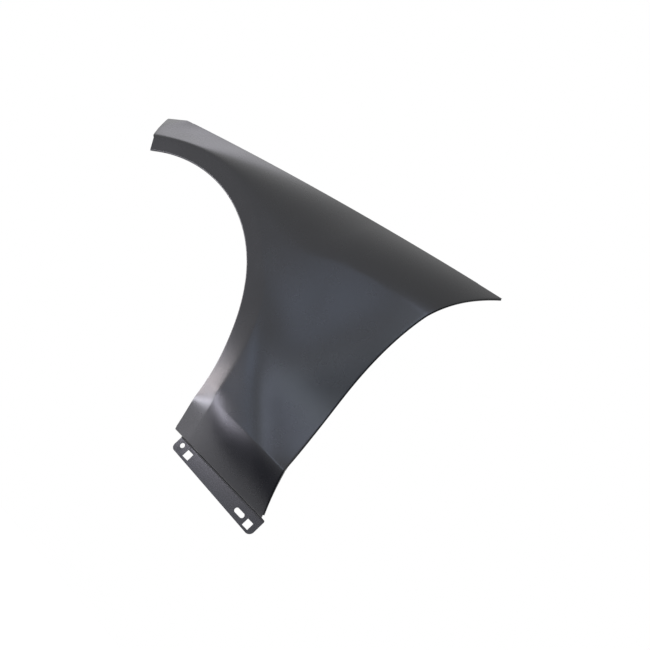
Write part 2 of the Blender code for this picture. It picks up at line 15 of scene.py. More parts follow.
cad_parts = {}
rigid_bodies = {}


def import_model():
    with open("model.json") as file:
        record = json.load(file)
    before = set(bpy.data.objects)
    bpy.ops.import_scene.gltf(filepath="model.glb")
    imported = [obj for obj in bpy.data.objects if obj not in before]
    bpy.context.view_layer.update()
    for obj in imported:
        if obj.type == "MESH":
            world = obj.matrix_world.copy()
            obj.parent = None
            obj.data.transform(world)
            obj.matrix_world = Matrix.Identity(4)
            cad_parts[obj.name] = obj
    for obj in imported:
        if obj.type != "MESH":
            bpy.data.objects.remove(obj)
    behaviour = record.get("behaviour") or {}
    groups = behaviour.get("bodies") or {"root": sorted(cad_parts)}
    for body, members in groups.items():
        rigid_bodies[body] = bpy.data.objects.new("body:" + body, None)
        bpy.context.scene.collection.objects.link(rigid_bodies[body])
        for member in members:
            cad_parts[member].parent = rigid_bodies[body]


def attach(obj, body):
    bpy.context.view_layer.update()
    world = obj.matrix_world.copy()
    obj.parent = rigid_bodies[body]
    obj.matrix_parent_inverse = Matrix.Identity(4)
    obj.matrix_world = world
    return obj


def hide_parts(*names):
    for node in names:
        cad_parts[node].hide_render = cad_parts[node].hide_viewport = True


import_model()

LOG = logging.getLogger("fender_scene")

MM = 0.001
SHADE_FULL = 255.0
LINEAR_LIMIT = 0.04045
LINEAR_DIVISOR = 12.92
GAMMA_OFFSET = 0.055
GAMMA_POWER = 2.4

QUARTER_TURN = 0.5 * math.pi
HUMP_SLOPE = 4.0
CROWDING_POWER = 12
INBOARD = -1.0

MIX_COLOUR_A = 6
MIX_COLOUR_B = 7
MIX_COLOUR_OUT = 2

Value = TypeVar("Value", float, Vector)
Point2 = Vector
Profile = list[tuple[float, float]]
Row = list[Vector]
Rows = list[Row]


class Fold(Enum):
    """How far an edge of the sheet is folded back from the skin, in degrees."""

    SQUARE = 90.0
    ARCH_LIP = 110.0
    HEM = 132.0


class Flank(Enum):
    """The three stretches of the band round the wheel arch."""

    NOSE = "nose"
    DOOR = "door"
    FOOT = "foot"


class LampRole(Enum):
    """What each studio lamp does for the panel."""

    KEY = "key"
    FILL = "fill"
    RIM = "rim"


def smooth(value: float) -> float:
    """Gives a ramp from 0 to 1 with level ends."""
    value = min(max(value, 0.0), 1.0)
    return value * value * (3.0 - 2.0 * value)


def mix(first: Value, last: Value, share: float) -> Value:
    """Gives the value or point at a share of the way from first to last."""
    return first + (last - first) * share


def hump(share: float) -> float:
    """Gives 0 at both ends of a run and 1 at its middle, with a slope of 4 at its start."""
    return HUMP_SLOPE * share * (1.0 - share)


def soft_min(first: float, second: float, rounding: float) -> float:
    """Rounds off the smaller of two heights where they cross.

    Args:
        first: One height, in metres.
        second: The other height, in metres.
        rounding: How near the heights are, in metres, where the rounding starts.

    Returns:
        The rounded lower height.
    """
    near = max(rounding - abs(first - second), 0.0) / rounding
    return min(first, second) - 0.25 * rounding * near**2


def even_shares(count: int) -> list[float]:
    """Gives the shares of a run cut into this many equal steps."""
    return [i / count for i in range(count + 1)]


def close_at_ends(count: int, first: float, last: float) -> list[float]:
    """Spreads rows so that they lie closer together beside a pressed line.

    Args:
        count: The number of steps.
        first: How strongly rows crowd at the start, 0 for evenly.
        last: How strongly rows crowd at the end, 0 for evenly.

    Returns:
        Shares that rise from 0 to 1.
    """
    weights = []
    for step in range(count):
        place = (step + 0.5) / count
        start_pull = first * (1.0 - place) ** CROWDING_POWER
        weights.append(1.0 / (1.0 + start_pull + last * place**CROWDING_POWER))
    total = sum(weights)
    shares = [0.0]
    for weight in weights:
        shares.append(shares[-1] + weight / total)
    shares[-1] = 1.0
    return shares


def bow(start: Vector, end: Vector, rise: float, share: float, lean: float = 0.0) -> Vector:
    """Gives a point of a shallow curve between two corners.

    Args:
        start: The first corner, in side view.
        end: The last corner, in side view.
        rise: How far the curve's middle stands off its chord.
        share: The place along the chord.
        lean: How much the rise leans to the start.

    Returns:
        The point, in side view.
    """
    chord = end - start
    side = Vector((-chord.y, chord.x)).normalized()
    return start + chord * share + side * (rise * hump(share) * (1.0 + lean * (1.0 - 2.0 * share)))


def as_rows(columns: list[Row]) -> Rows:
    """Turns columns of points into rows."""
    return [list(row) for row in zip(*columns)]


def quarter_fold(radius: float, steps: int) -> list[tuple[float, float]]:
    """Gives the points of a square fold, past its start.

    Args:
        radius: The fold's radius.
        steps: The number of points.

    Returns:
        How far each point lies ahead along the first wall's way, and aside along the second's.
    """
    angles = [QUARTER_TURN * step / steps for step in range(1, steps + 1)]
    return [(radius * math.sin(angle), radius * (1.0 - math.cos(angle))) for angle in angles]


def linear_colour(code: str) -> tuple[float, float, float, float]:
    """Turns an sRGB hex code into the linear colour that a shader takes.

    Args:
        code: Six hex digits, two for each channel.

    Returns:
        The three channels from 0 to 1, and an alpha of 1.
    """
    channels = []
    for shade in bytes.fromhex(code):
        value = shade / SHADE_FULL
        if value <= LINEAR_LIMIT:
            channels.append(value / LINEAR_DIVISOR)
        else:
            channels.append(((value + GAMMA_OFFSET) / (1.0 + GAMMA_OFFSET)) ** GAMMA_POWER)
    return (*channels, 1.0)


@dataclass(frozen=True)
class WheelArch:
    """The opening's edge and the rolled band round it, drawn about the wheel's centre."""

    radius: float = 350.0 * MM
    rear_radius: float = 422.5 * MM
    front_deg: float = 118.5
    band_front_deg: float = 118.9
    join_deg: float = 43.0
    band: float = 35.5 * MM
    nose_band: float = 30.0 * MM
    rear_band: float = 46.0 * MM
    nose_band_from_deg: float = 80.0
    nose_band_run_deg: float = 40.0
    rear_band_from_deg: float = 52.0
    rear_band_run_deg: float = 18.0
    roll: float = 2.6 * MM
    foot_roll: float = 19.0 * MM
    merged_roll: float = 14.0 * MM
    shoulder_deg: float = 58.0

    def rear_centre(self) -> Point2:
        """Gives the centre of the flatter rear arc."""
        join = math.radians(self.join_deg)
        return Vector((math.cos(join), math.sin(join))) * (self.radius - self.rear_radius)

    def point(self, degrees: float, outward: float) -> Point2:
        """Gives the arch at this angle of its radius, moved outward from the opening.

        Args:
            degrees: Angle of the arch's radius, from the rear upwards.
            outward: How far past the opening the point lies.

        Returns:
            The point, in side view.
        """
        ray = Vector((math.cos(math.radians(degrees)), math.sin(math.radians(degrees))))
        if degrees >= self.join_deg:
            return ray * (self.radius + outward)
        return self.rear_centre() + ray * (self.rear_radius + outward)

    def degrees_at(self, height: float, outward: float) -> float:
        """Gives the angle at which the rear arc, moved outward, reaches this height."""
        rise = height - self.rear_centre().y
        return math.degrees(math.asin(rise / (self.rear_radius + outward)))

    def width(self, degrees: float) -> float:
        """Gives the band's width, narrow at the nose and wide down the back of the arch.

        Args:
            degrees: Angle of the arch's radius.

        Returns:
            The width, in metres.
        """
        if degrees > self.nose_band_from_deg:
            share = smooth((degrees - self.nose_band_from_deg) / self.nose_band_run_deg)
            return mix(self.band, self.nose_band, share)
        share = smooth((self.rear_band_from_deg - degrees) / self.rear_band_run_deg)
        return mix(self.band, self.rear_band, share)

    def shoulder_start(self) -> Point2:
        """Gives the place on the band's outer line where the shoulder line begins."""
        return self.point(self.shoulder_deg, self.width(self.shoulder_deg))


@dataclass(frozen=True)
class Outline:
    """The panel's edges and pressed lines in side view, measured from the wheel's centre."""

    arch: WheelArch = field(default_factory=WheelArch)
    sill_drop: float = 67.0 * MM
    nose_top: tuple[float, float] = (-260.0 * MM, 399.5 * MM)
    nose_corner: tuple[float, float] = (-215.0 * MM, 423.0 * MM)
    tip: tuple[float, float] = (646.5 * MM, 557.2 * MM)
    bonnet_rise: float = 1.8 * MM
    shoulder_end: tuple[float, float] = (591.5 * MM, 422.0 * MM)
    pillar_bow: float = 5.5 * MM
    lower_line_end: tuple[float, float] = (618.0 * MM, 21.0 * MM)
    door_bow: float = 22.2 * MM
    door_bow_lean: float = -0.28
    sill_rear: float = 645.5 * MM
    foot_bow: float = 0.4 * MM
    knee: tuple[float, float] = (386.0 * MM, 396.0 * MM)
    shoulder_sag: float = 11.5 * MM
    shoulder_rise: float = 2.0 * MM

    def bonnet_height(self, x: float) -> float:
        """Gives the height of the edge along the bonnet gap.

        Args:
            x: Place along the car from the wheel's centre.

        Returns:
            The height, in metres.
        """
        if x < self.nose_corner[0]:
            share = (x - self.nose_top[0]) / (self.nose_corner[0] - self.nose_top[0])
            return mix(self.nose_top[1], self.nose_corner[1], share)
        share = (x - self.nose_corner[0]) / (self.tip[0] - self.nose_corner[0])
        return mix(self.nose_corner[1], self.tip[1], share) + self.bonnet_rise * hump(share)

    def front_shoulder(self, x: float) -> float:
        """Gives the soft front run of the shoulder line, which sags from the band to the knee.

        Args:
            x: Place along the car from the wheel's centre.

        Returns:
            The height, in metres.
        """
        start = self.arch.shoulder_start()
        run = self.knee[0] - start.x
        share = (x - start.x) / run
        if share < 0.0:
            slope = (self.knee[1] - start.y - HUMP_SLOPE * self.shoulder_sag) / run
            return start.y + slope * (x - start.x)
        return mix(start.y, self.knee[1], share) - self.shoulder_sag * hump(share)

    def rear_shoulder(self, x: float) -> float:
        """Gives the crisp rear run of the shoulder line, from the knee to the door.

        Args:
            x: Place along the car from the wheel's centre.

        Returns:
            The height, in metres.
        """
        share = (x - self.knee[0]) / (self.shoulder_end[0] - self.knee[0])
        rise = self.shoulder_rise * hump(min(max(share, 0.0), 1.0))
        return mix(self.knee[1], self.shoulder_end[1], share) + rise


@dataclass(frozen=True)
class Swell:
    """One soft form of the skin, a few millimetres deep, between the pressed lines."""

    centre: tuple[float, float]
    reach: tuple[float, float]
    turn_deg: float
    depth: float

    def at(self, x: float, z: float) -> float:
        """Gives the form's share of the depth at a place in side view, positive inboard.

        Args:
            x: Place along the car from the wheel's centre.
            z: Height from the wheel's centre.

        Returns:
            The depth, in metres.
        """
        turn = math.radians(self.turn_deg)
        off_x, off_z = x - self.centre[0], z - self.centre[1]
        along = (off_x * math.cos(turn) + off_z * math.sin(turn)) / self.reach[0]
        across = (off_z * math.cos(turn) - off_x * math.sin(turn)) / self.reach[1]
        return self.depth * math.exp(-0.5 * (along**2 + across**2))


@dataclass(frozen=True)
class PressShape:
    """How deep every point of the skin lies inboard of the panel's widest point."""

    outline: Outline = field(default_factory=Outline)
    crease: float = 4.0 * MM
    widest: float = 1.4 * MM
    start_rounding: float = 90.0 * MM
    knee_rounding: float = 60.0 * MM
    nose_sweep: float = 20.0 * MM
    nose_sweep_run: float = 400.0 * MM
    nose_sweep_from: float = 266.6 * MM
    door_sweep: float = 16.8 * MM
    door_sweep_run: float = 350.0 * MM
    door_sweep_from: float = 300.0 * MM
    nose_crown: float = 72.0 * MM
    tip_crown: float = 57.2 * MM
    nose_crown_power: float = 1.02
    door_crown_power: float = 2.25
    crown_fade_from: float = -120.4 * MM
    crown_fade_run: float = 391.5 * MM
    scoop: float = 14.9 * MM
    scoop_run_share: float = 1.175
    scoop_top: float = 2.2
    scoop_foot: float = 8.36
    foot_kick: float = 8.1 * MM
    kick_run_share: float = 0.97
    foot_tuck: float = 12.0 * MM
    foot_roll: float = 15.9 * MM
    foot_roll_power: float = 4.0
    foot_roll_rise: float = 30.0 * MM
    merge_rise: float = 20.0 * MM
    merge_run: float = 45.0 * MM
    shoulder_break: float = 0.17
    break_from: float = 350.0 * MM
    break_run: float = 140.0 * MM
    swells: tuple[Swell, ...] = (
        Swell((517.0 * MM, 134.0 * MM), (58.0 * MM, 44.0 * MM), 16.0, 3.5 * MM),
        Swell((523.0 * MM, 168.0 * MM), (160.0 * MM, 119.0 * MM), 65.0, -3.5 * MM),
        Swell((506.0 * MM, 239.0 * MM), (160.0 * MM, 63.0 * MM), 85.3, -3.5 * MM),
        Swell((309.0 * MM, 255.0 * MM), (31.0 * MM, 120.0 * MM), 71.2, 1.9 * MM),
        Swell((466.0 * MM, 86.0 * MM), (135.0 * MM, 28.0 * MM), 143.8, -3.5 * MM),
    )

    def eased(self, share: float, length: float) -> float:
        """Gives a share of a run whose first stretch is rounded off by the crease's radius."""
        near = math.hypot(share * length, self.crease) - self.crease
        return near / (math.hypot(length, self.crease) - self.crease)

    def crown_height(self, x: float, z: float) -> float:
        """Gives how far a point lies above the crown's lower line, which is rounded at its bend.

        Args:
            x: Place along the car from the wheel's centre.
            z: Height from the wheel's centre.

        Returns:
            The height above the line, or 0 below it, in metres.
        """
        arch = self.outline.arch
        over_band = math.hypot(x, z) - arch.radius - arch.width(math.degrees(math.atan2(z, x)))
        over_front = z - self.outline.front_shoulder(x)
        over_rear = z - self.outline.rear_shoulder(x)
        over_shoulder = -soft_min(-over_front, -over_rear, self.knee_rounding)
        return max(soft_min(over_band, over_shoulder, self.start_rounding), 0.0)

    def side(self, x: float, z: float) -> float:
        """Gives the depth of the side and of the crown above it.

        Args:
            x: Place along the car from the wheel's centre, in metres.
            z: Height from the wheel's centre, in metres.

        Returns:
            The depth inboard, in metres.
        """
        nose = max(self.nose_sweep_from - x, 0.0) / self.nose_sweep_run
        door = max(x - self.door_sweep_from, 0.0) / self.door_sweep_run
        depth = self.nose_sweep * nose**2 + self.door_sweep * door**2 - self.widest
        depth += sum(swell.at(x, z) for swell in self.swells)
        height = self.crown_height(x, z)
        if height == 0.0:
            return depth
        full = self.crown_height(x, self.outline.bonnet_height(x))
        fade = smooth((x - self.crown_fade_from) / self.crown_fade_run)
        power = mix(self.nose_crown_power, self.door_crown_power, fade)
        along = (x - self.outline.nose_top[0]) / (self.outline.tip[0] - self.outline.nose_top[0])
        amount = mix(self.nose_crown, self.tip_crown, along)
        rise = self.eased(height / full, full)
        crisp = self.shoulder_break * smooth((x - self.break_from) / self.break_run)
        return depth + amount * mix(rise**power, rise, crisp)

    def foot_share(self, z: float) -> float:
        """Gives 0 at the lower line and above, and 1 at the sill."""
        top = self.outline.lower_line_end[1]
        return max(top - z, 0.0) / (top + self.outline.sill_drop)

    def foot_turn(self, z: float) -> float:
        """Gives how far the skin beside the band turns in behind the wheel."""
        top = self.outline.lower_line_end[1] + self.foot_roll_rise
        return self.foot_roll * smooth((top - z) / (top + self.outline.sill_drop))

    def foot_merge(self, z: float) -> float:
        """Gives 0 where the band keeps its own line, and 1 low down, where it runs into the foot."""
        top = self.outline.lower_line_end[1] + self.merge_rise
        return smooth((top - z) / self.merge_run)

    def door(self, x: float, z: float, along: float, share: float, height: float) -> float:
        """Gives the depth of the door side, with the scoop that opens towards the door.

        Args:
            x: Place along the car from the wheel's centre.
            z: Height from the wheel's centre.
            along: Share of the way from the band to the door edge.
            share: Share of the way up from the lower line to the shoulder line.
            height: The side's height at this column, in metres.

        Returns:
            The depth inboard, in metres.
        """
        down = self.eased(1.0 - share, height)
        hollow = down * (1.0 - down) * mix(self.scoop_top, self.scoop_foot, down)
        turn = self.foot_turn(z) * (1.0 - along) ** self.foot_roll_power
        return self.side(x, z) + self.scoop * smooth(along / self.scoop_run_share) * hollow + turn

    def foot(self, x: float, z: float, along: float) -> float:
        """Gives the depth of the foot, kicked in at the lower line and tucked under at the sill.

        Args:
            x: Place along the car from the wheel's centre.
            z: Height from the wheel's centre.
            along: Share of the way from the band to the door edge.

        Returns:
            The depth inboard, in metres.
        """
        down = self.foot_share(z)
        run = self.outline.lower_line_end[1] + self.outline.sill_drop
        kick = mix(down**2, self.eased(down, run), smooth(along / self.kick_run_share))
        turn = self.foot_turn(z) * (1.0 - along) ** self.foot_roll_power
        return self.side(x, z) + self.foot_kick * kick + self.foot_tuck * down**2 + turn

    def band_line(self, x: float, z: float) -> float:
        """Gives the depth along the band's outer line, shared by every field that meets it."""
        tuck = (self.foot_kick + self.foot_tuck) * self.foot_share(z) ** 2
        return self.side(x, z) + tuck + self.foot_turn(z)


@dataclass(frozen=True)
class SkinFields:
    """The four fields of the pressed skin as fine rows of points."""

    shape: PressShape = field(default_factory=PressShape)
    nose_columns: int = 64
    knee_columns: int = 30
    rear_columns: int = 30
    corner_columns: int = 4
    crown_rows: int = 44
    door_rows: int = 56
    foot_rows: int = 26
    outer_band_rows: int = 10
    inner_band_rows: int = 6
    relief_share: float = 0.6
    door_crowding: tuple[float, float] = (5.0, 5.0)
    foot_crowding: tuple[float, float] = (3.0, 5.0)
    crown_crowding: tuple[float, float] = (6.0, 2.0)
    outer_band_crowding: tuple[float, float] = (6.0, 0.0)
    inner_band_crowding: tuple[float, float] = (0.0, 3.0)

    def door_shares(self) -> list[float]:
        """Gives the rows of the door side, closer together beside both pressed lines."""
        return close_at_ends(self.door_rows, *self.door_crowding)

    def foot_shares(self) -> list[float]:
        """Gives the rows of the foot, closer together beside the lower line."""
        return close_at_ends(self.foot_rows, *self.foot_crowding)

    def crown_shares(self) -> list[float]:
        """Gives the rows of the crown, closer together beside the crease and the bonnet edge."""
        return close_at_ends(self.crown_rows, *self.crown_crowding)

    def band_shares(self) -> list[float]:
        """Gives the rows of the band, one of them where the sill plate's front end meets it.

        Returns:
            Shares from 0 at the outer line to 1 at the arch edge.
        """
        outer = close_at_ends(self.outer_band_rows, *self.outer_band_crowding)
        inner = close_at_ends(self.inner_band_rows, *self.inner_band_crowding)[1:]
        shares = [self.relief_share * share for share in outer]
        return shares + [mix(self.relief_share, 1.0, share) for share in inner]

    def band_angle(self, flank: Flank, share: float, across: float) -> float:
        """Gives the angle of a column of the band.

        Args:
            flank: The stretch that the column belongs to.
            share: The place along that stretch.
            across: 0 at the arch edge and 1 at the outer line.

        Returns:
            The angle of the arch's radius, in degrees.
        """
        arch = self.shape.outline.arch
        low = arch.degrees_at(self.shape.outline.lower_line_end[1], arch.rear_band)
        if flank is Flank.NOSE:
            front = mix(arch.front_deg, arch.band_front_deg, across)
            return mix(front, arch.shoulder_deg, share)
        if flank is Flank.DOOR:
            return mix(low, arch.shoulder_deg, share)
        return mix(arch.degrees_at(-self.shape.outline.sill_drop, across * arch.rear_band), low, share)

    def band(self) -> Rows:
        """Gives the band's rows from its outer line in to the arch edge, nose to sill.

        Returns:
            The rows in space, from the outer line in.
        """
        arch = self.shape.outline.arch
        columns = [(Flank.NOSE, share) for share in even_shares(self.nose_columns)]
        columns += [(Flank.DOOR, share) for share in reversed(self.door_shares()[:-1])]
        columns += [(Flank.FOOT, share) for share in reversed(self.foot_shares()[:-1])]
        rows = []
        for row_share in self.band_shares():
            row = []
            for flank, share in columns:
                outer = self.band_angle(flank, share, 1.0)
                line = arch.point(outer, arch.width(outer))
                angle = self.band_angle(flank, share, 1.0 - row_share)
                width = arch.width(angle)
                spot = arch.point(angle, (1.0 - row_share) * width)
                merge = self.shape.foot_merge(line.y)
                roll = mix(arch.roll, arch.foot_roll, smooth((arch.join_deg - angle) / arch.join_deg))
                profile = mix(self.shape.eased(row_share, width), row_share, merge)
                depth = mix(roll, arch.merged_roll, merge) * profile
                depth += self.shape.band_line(line.x, line.y)
                row.append(Vector((spot.x, depth, spot.y)))
            rows.append(row)
        return rows

    def patch(self, bottom: Row, top: Row, left: Row, right: Row, shares: Sequence[float]) -> Rows:
        """Fills four edges, which meet at their corners, with side view rows.

        Args:
            bottom: The lower edge.
            top: The upper edge, with as many points as the lower one.
            left: The front edge, from bottom to top.
            right: The rear edge, from bottom to top.
            shares: The place of each row.

        Returns:
            The rows, from bottom to top.
        """
        rows = []
        last = len(bottom) - 1
        for share, first, final in zip(shares, left, right):
            row = []
            for i, (low, high) in enumerate(zip(bottom, top)):
                along = i / last
                corners = mix(mix(bottom[0], top[0], share), mix(bottom[-1], top[-1], share), along)
                row.append(mix(low, high, share) + mix(first, final, along) - corners)
            rows.append(row)
        return rows

    def lifted_door(self, rows: Rows, shares: Sequence[float]) -> Rows:
        """Turns the door side's rows in side view into points in space.

        Args:
            rows: The side view rows, from the lower line up.
            shares: The place of each row.

        Returns:
            The rows in space.
        """
        last = len(rows[0]) - 1
        heights = [(rows[-1][i] - rows[0][i]).length for i in range(last + 1)]
        depth = self.shape.door
        return [
            [Vector((p.x, depth(p.x, p.y, i / last, share, heights[i]), p.y)) for i, p in enumerate(row)]
            for row, share in zip(rows, shares)
        ]

    def build(self) -> dict[str, Rows]:
        """Gives the rows of the crown, door side, foot and band by name.

        Returns:
            Each field as rows from its lower edge up, and the band from its outer line in.
        """
        outline = self.shape.outline
        band = self.band()
        line = [Vector((p.x, p.z)) for p in band[0]]
        low_column = self.nose_columns + self.door_rows
        low_end = Vector(outline.lower_line_end)
        sill_end = Vector((outline.sill_rear, -outline.sill_drop))
        start = outline.arch.shoulder_start()

        front_run = [mix(start.x, outline.knee[0], share) for share in even_shares(self.knee_columns)]
        rear_shares = even_shares(self.rear_columns)[1:]
        rear_run = [mix(outline.knee[0], outline.shoulder_end[0], share) for share in rear_shares]
        shoulder = [Vector((x, outline.front_shoulder(x))) for x in front_run]
        shoulder += [Vector((x, outline.rear_shoulder(x))) for x in rear_run]
        lengthwise = even_shares(self.knee_columns + self.rear_columns)
        lower = [mix(line[low_column], low_end, share) for share in lengthwise]
        sill = [mix(line[-1], sill_end, share) for share in lengthwise]

        straight = self.nose_columns + self.knee_columns + self.rear_columns - self.corner_columns
        nose_top, nose_corner = outline.nose_top[0], outline.nose_corner[0]
        corner_shares = even_shares(self.corner_columns)[:-1]
        bonnet_run = [mix(nose_top, nose_corner, share) for share in corner_shares]
        bonnet_run += [mix(nose_corner, outline.tip[0], share) for share in even_shares(straight)]
        bonnet = [Vector((x, outline.bonnet_height(x))) for x in bonnet_run]

        crown = self.patch(
            line[: self.nose_columns] + shoulder,
            bonnet,
            [mix(line[0], bonnet[0], share) for share in self.crown_shares()],
            [bow(shoulder[-1], bonnet[-1], outline.pillar_bow, share) for share in self.crown_shares()],
            self.crown_shares(),
        )
        door = self.patch(
            lower,
            shoulder,
            line[low_column : self.nose_columns - 1 : -1],
            [
                bow(low_end, shoulder[-1], outline.door_bow, share, outline.door_bow_lean)
                for share in self.door_shares()
            ],
            self.door_shares(),
        )
        foot = self.patch(
            sill,
            lower,
            line[: low_column - 1 : -1],
            [bow(sill_end, low_end, outline.foot_bow, share) for share in self.foot_shares()],
            self.foot_shares(),
        )
        shape, last = self.shape, len(sill) - 1
        return {
            "crown": [[Vector((p.x, shape.side(p.x, p.y), p.y)) for p in row] for row in crown],
            "door": self.lifted_door(door, self.door_shares()),
            "foot": [
                [Vector((p.x, shape.foot(p.x, p.y, i / last), p.y)) for i, p in enumerate(row)]
                for row in foot
            ],
            "band": band,
        }


@dataclass(frozen=True)
class FoldTool:
    """Folds a flange off an edge of the skin."""

    radius: float = 2.4 * MM
    press_radius: float = 4.0 * MM
    steps: int = 8

    def frames(self, edge: Row, inner: Row) -> list[tuple[Vector, Vector]]:
        """Gives the way out of the skin and the outward normal at each point of an edge.

        Args:
            edge: The points of the edge.
            inner: The next row of points inside it.

        Returns:
            One pair of directions for each point.
        """
        frames = []
        for i, point in enumerate(edge):
            before = edge[max(i - 1, 0)]
            after = edge[min(i + 1, len(edge) - 1)]
            along = (after - before).normalized()
            out = point - inner[i]
            out = (out - along * out.dot(along)).normalized()
            normal = along.cross(out)
            if normal.y > 0.0:
                normal = -normal
            frames.append((out, normal))
        return frames

    def turned(self, point: Vector, out: Vector, normal: Vector, degrees: float, radius: float) -> Row:
        """Gives the points of a fold that starts at a point of the skin.

        Args:
            point: Where the fold starts.
            out: The way out of the skin there.
            normal: The outward normal there.
            degrees: The whole turn.
            radius: The fold's radius.

        Returns:
            The points after the first one.
        """
        centre = point - normal * radius
        points = []
        for step in range(1, self.steps + 1):
            angle = math.radians(degrees) * step / self.steps
            level, rise = radius * math.cos(angle), radius * math.sin(angle)
            points.append(centre + normal * level + out * rise)
        return points

    def flange(self, edge: Row, inner: Row, turns: Sequence[tuple[float, float]]) -> Rows:
        """Gives the rows of a flange folded inboard off an edge.

        Args:
            edge: The points of the edge.
            inner: The next row of points inside it.
            turns: The turn in degrees and the width past the fold at each point.

        Returns:
            The rows, of which the first is the edge itself.
        """
        columns = []
        for point, (out, normal), (degrees, width) in zip(edge, self.frames(edge, inner), turns):
            angle = math.radians(degrees)
            way = out * math.cos(angle) - normal * math.sin(angle)
            column = [point, *self.turned(point, out, normal, degrees, self.radius)]
            columns.append([*column, column[-1] + way * width])
        return as_rows(columns)


@dataclass(frozen=True)
class EdgeFolds:
    """The folded edges of the skin: the arch lip, the rear hems, the foot flange and the nose flange."""

    outline: Outline = field(default_factory=Outline)
    tool: FoldTool = field(default_factory=FoldTool)
    lip_width: float = 11.0 * MM
    hem_width: float = 9.0 * MM
    foot_width: float = 10.0 * MM
    nose_width: float = 16.0 * MM
    change_run: float = 30.0 * MM
    taper_run: float = 60.0 * MM
    lip_end_gap: int = 2
    hem_start_row: int = 2
    nose_start_row: int = 4
    nose_end_gap: int = 3

    def rear_turn(self, point: Vector) -> tuple[float, float]:
        """Gives the rear edge's fold at a point: square on the foot, a hem above, and thin at the tip.

        Args:
            point: A point of the rear edge.

        Returns:
            The turn in degrees and the flange's width.
        """
        above = smooth((point.z - self.outline.lower_line_end[1]) / self.change_run)
        tip = smooth((self.outline.tip[0] - point.x) / self.taper_run)
        width = mix(self.foot_width, self.hem_width, above)
        return mix(Fold.SQUARE.value, Fold.HEM.value, above), width * tip

    def build(self, skin: dict[str, Rows]) -> list[Rows]:
        """Gives the rows of the arch lip, of the rear edge's hem and of the nose flange.

        Args:
            skin: The fields of the skin, by name.

        Returns:
            One set of rows for each flange.
        """
        band, crown, door, foot = skin["band"], skin["crown"], skin["door"], skin["foot"]
        arch_edge, arch_inner = band[-1][: -self.lip_end_gap], band[-2][: -self.lip_end_gap]
        lip = [(Fold.ARCH_LIP.value, self.lip_width)] * len(arch_edge)
        rear_rows = foot[self.hem_start_row :] + door[1:] + crown[1:-1]
        rear = [row[-1] for row in rear_rows]
        nose_rows = crown[self.nose_start_row : -self.nose_end_gap]
        square = [(Fold.SQUARE.value, self.nose_width)] * len(nose_rows)
        return [
            self.tool.flange(arch_edge, arch_inner, lip),
            self.tool.flange(rear, [row[-2] for row in rear_rows], [self.rear_turn(p) for p in rear]),
            self.tool.flange([row[0] for row in nose_rows], [row[1] for row in nose_rows], square),
        ]


@dataclass(frozen=True)
class BonnetGutter:
    """The wall down from the bonnet edge and the slotted flange at its foot."""

    outline: Outline = field(default_factory=Outline)
    tool: FoldTool = field(default_factory=FoldTool)
    nose_depth: float = 40.0 * MM
    tip_depth: float = 14.0 * MM
    draft_deg: float = 8.0
    flange_width: float = 24.0 * MM
    slot_width: float = 9.5 * MM
    slot_length: float = 14.0 * MM
    slot_places: tuple[float, ...] = (-120.1 * MM, 104.0 * MM, 309.8 * MM, 515.5 * MM)
    nose_gap: float = 18.0 * MM
    tip_gap: float = 55.0 * MM

    def reaches(self, point: Vector) -> bool:
        """Tells whether the gutter hangs from this point of the bonnet edge."""
        after_nose = point.x > self.outline.nose_corner[0] + self.nose_gap
        return after_nose and point.x < self.outline.tip[0] - self.tip_gap

    def height(self, x: float) -> float:
        """Gives the height of the flat flange.

        Args:
            x: Place along the car from the wheel's centre.

        Returns:
            The height, in metres.
        """
        start = self.outline.nose_corner[1] - self.nose_depth
        end = self.outline.tip[1] - self.tip_depth
        run = self.outline.tip[0] - self.outline.nose_corner[0]
        return mix(start, end, (x - self.outline.nose_corner[0]) / run)

    def build(self, edge: Row, inner: Row) -> Rows:
        """Gives the gutter's rows from the bonnet edge to the flange's inboard edge.

        Args:
            edge: The points of the bonnet edge.
            inner: The next row of points inside it.

        Returns:
            The rows, of which the first is the edge itself.
        """
        draft = math.radians(self.draft_deg)
        down = Vector((0.0, math.sin(draft), -math.cos(draft)))
        radius = self.tool.press_radius
        columns = []
        for point, (out, normal) in zip(edge, self.tool.frames(edge, inner)):
            turn = math.degrees(math.atan2(-normal.dot(down), out.dot(down)))
            column = [point, *self.tool.turned(point, out, normal, turn, radius)]
            foot = column[-1]
            fall = foot.z - self.height(foot.x) - radius
            wall = foot + down * (fall / math.cos(draft))
            wall.x = foot.x
            column.append(wall)
            for ahead, aside in quarter_fold(radius, self.tool.steps):
                column.append(wall + Vector((0.0, aside, -ahead)))
            column.append(column[-1] + Vector((0.0, self.flange_width, 0.0)))
            columns.append(column)
        return as_rows(columns)

    def cutters(self, edge: Row) -> list["Cutter"]:
        """Gives the punches of the flange's slots, spread along its inboard edge.

        Args:
            edge: The flange's inboard edge.

        Returns:
            One punch for each slot.
        """
        run = self.outline.tip[0]
        slope = math.atan2(self.height(run) - self.height(0.0), run)
        made = []
        for number, x in enumerate(self.slot_places, 1):
            place = self.at_place(edge, x) - Vector((0.0, 0.5 * self.flange_width, 0.0))
            matrix = Matrix.Translation(place) @ Matrix.Rotation(-slope, 4, "Y")
            made.append(Cutter(f"bonnet_slot_{number}", self.slot_width, self.slot_length, matrix))
        return made

    def at_place(self, edge: Row, x: float) -> Vector:
        """Gives the point of an edge at this place along the car.

        Args:
            edge: The points of the edge, from the front.
            x: Place along the car from the wheel's centre.

        Returns:
            The point.
        """
        after = next(i for i, point in enumerate(edge) if point.x >= x)
        first, last = edge[after - 1], edge[after]
        return mix(first, last, (x - first.x) / (last.x - first.x))


